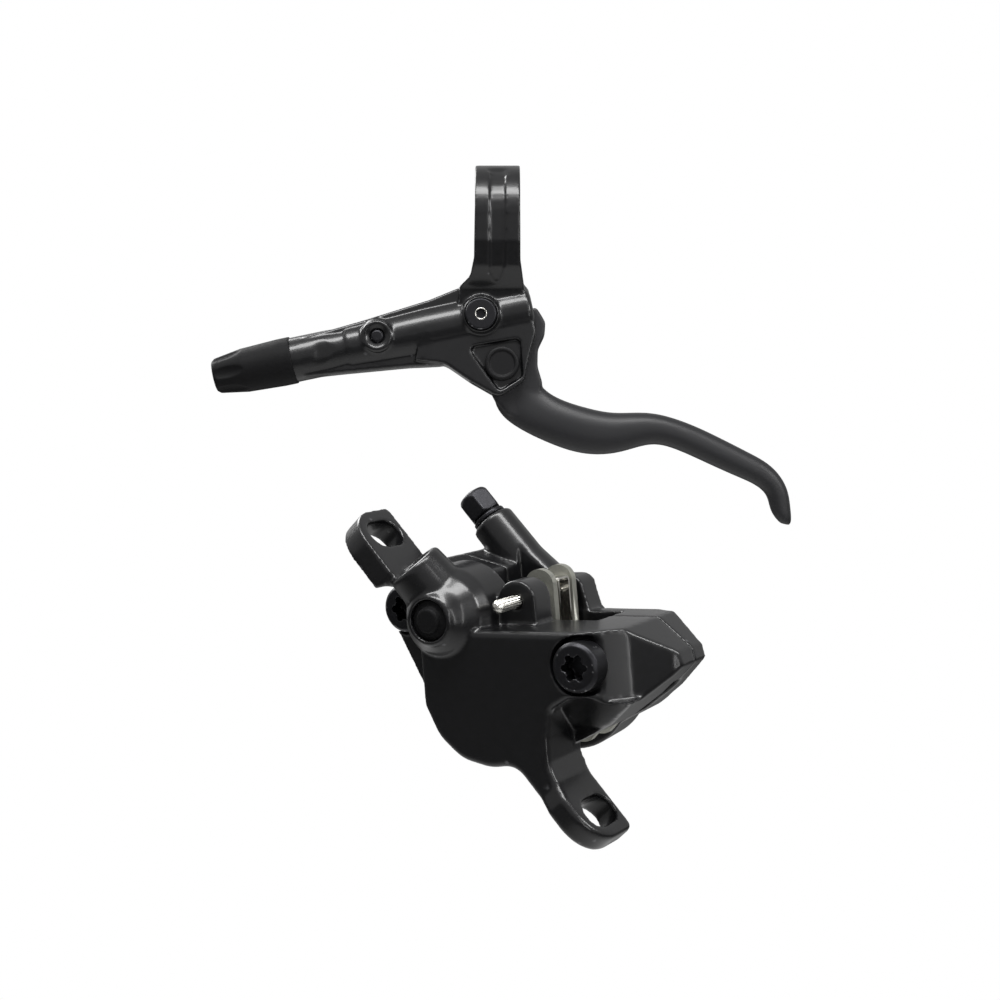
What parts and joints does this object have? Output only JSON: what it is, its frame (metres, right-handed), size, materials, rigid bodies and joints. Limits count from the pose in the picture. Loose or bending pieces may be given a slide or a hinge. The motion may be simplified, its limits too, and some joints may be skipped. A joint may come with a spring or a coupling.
{
  "type": "hydraulic disc brake",
  "caption": "Bicycle hydraulic disc brake in two units: a brake lever with master cylinder and bar clamp, and a post mount caliper with opposed pistons and pads.",
  "frame": {"origin": "middle of the lever's handlebar clamp bore", "axes": "+X along the handlebar towards the tip of the lever blade, +Z away from the blade at right angles to the bar, +Y along the lever pivot away from the bleed screw side"},
  "size_m": [0.1704, 0.1937, 0.1686],
  "materials": {
    "painted_casting": "cast aluminium, black paint, satin gloss",
    "anodised_blade": "forged aluminium, dark grey, satin",
    "black_rubber": "moulded, fine texture",
    "black_steel": "black oxide on steel, satin",
    "bright_steel": "bright stainless",
    "pad_steel": "stamped steel, matte",
    "friction_resin": "pressed friction material",
    "piston_resin": "turned phenolic resin",
    "plunger_alloy": "turned aluminium",
    "bearing_brass": "turned bushing"
  },
  "bodies": {
    "lever_body_and_caliper": {"lever_body": "painted_casting", "clamp_bolt": "black_steel", "bleed_screw": "black_steel", "bleed_screw_seal": "black_rubber", "port_plug": "black_steel", "lever_axle": "black_steel", "axle_cap": "black_steel", "near_pivot_bush": "bearing_brass", "far_pivot_bush": "bearing_brass", "piston_return_spring": "bright_steel", "hose_nut": "black_steel", "hose_boot": "black_rubber", "reservoir_lid": "painted_casting", "reservoir_diaphragm": "black_rubber", "lid_screws": "black_steel", "caliper_outer_half": "painted_casting", "caliper_inner_half": "painted_casting", "front_body_bolt": "black_steel", "rear_body_bolt": "black_steel", "outer_piston_seal": "black_rubber", "inner_piston_seal": "black_rubber", "pad_spring": "bright_steel", "split_pin": "bright_steel", "oilway_plug": "black_rubber", "crossover_seal": "black_rubber"},
    "blade": {"lever_blade": "anodised_blade"},
    "plunger": {"master_piston": "plunger_alloy", "primary_cup": "black_rubber", "secondary_cup": "black_rubber", "pushrod": "plunger_alloy"},
    "outer_pad": {"outer_piston": "piston_resin", "outer_pad_plate": "pad_steel", "outer_pad_lining": "friction_resin"},
    "inner_pad": {"inner_piston": "piston_resin", "inner_pad_plate": "pad_steel", "inner_pad_lining": "friction_resin"},
    "nipple": {"bleed_nipple": "black_steel"}
  },
  "joints": [
    {"name": "lever_pull", "type": "hinge", "parent": "lever_body_and_caliper", "child": "blade", "pos_m": [0.0013, 0, -0.0434], "axis": [0, -1, 0], "range_deg": [0, 20]},
    {"name": "piston_stroke", "type": "slide", "parent": "lever_body_and_caliper", "child": "plunger", "axis": [-0.9787, 0, -0.2052], "range_m": [0, 0.0056], "deforming": ["piston_return_spring"]},
    {"name": "outer_pad_travel", "type": "slide", "parent": "lever_body_and_caliper", "child": "outer_pad", "axis": [0.5141, 0.8525, 0.094], "range_m": [0, 0.000499]},
    {"name": "inner_pad_travel", "type": "slide", "parent": "lever_body_and_caliper", "child": "inner_pad", "axis": [-0.5141, -0.8525, -0.094], "range_m": [0, 0.000499]},
    {"name": "bleed_nipple_turn", "type": "hinge", "parent": "lever_body_and_caliper", "child": "nipple", "pos_m": [-0.0012, -0.12003, -0.08766], "axis": [-0.6007, 0.2796, 0.749], "range_deg": [0, 90]}
  ],
  "couplings": [
    {"joint": "piston_stroke", "follows": "lever_pull", "m_per_rad": 0.016},
    {"joint": "outer_pad_travel", "follows": "lever_pull", "m_per_rad": 0.0014},
    {"joint": "inner_pad_travel", "follows": "lever_pull", "m_per_rad": 0.0014}
  ]
}
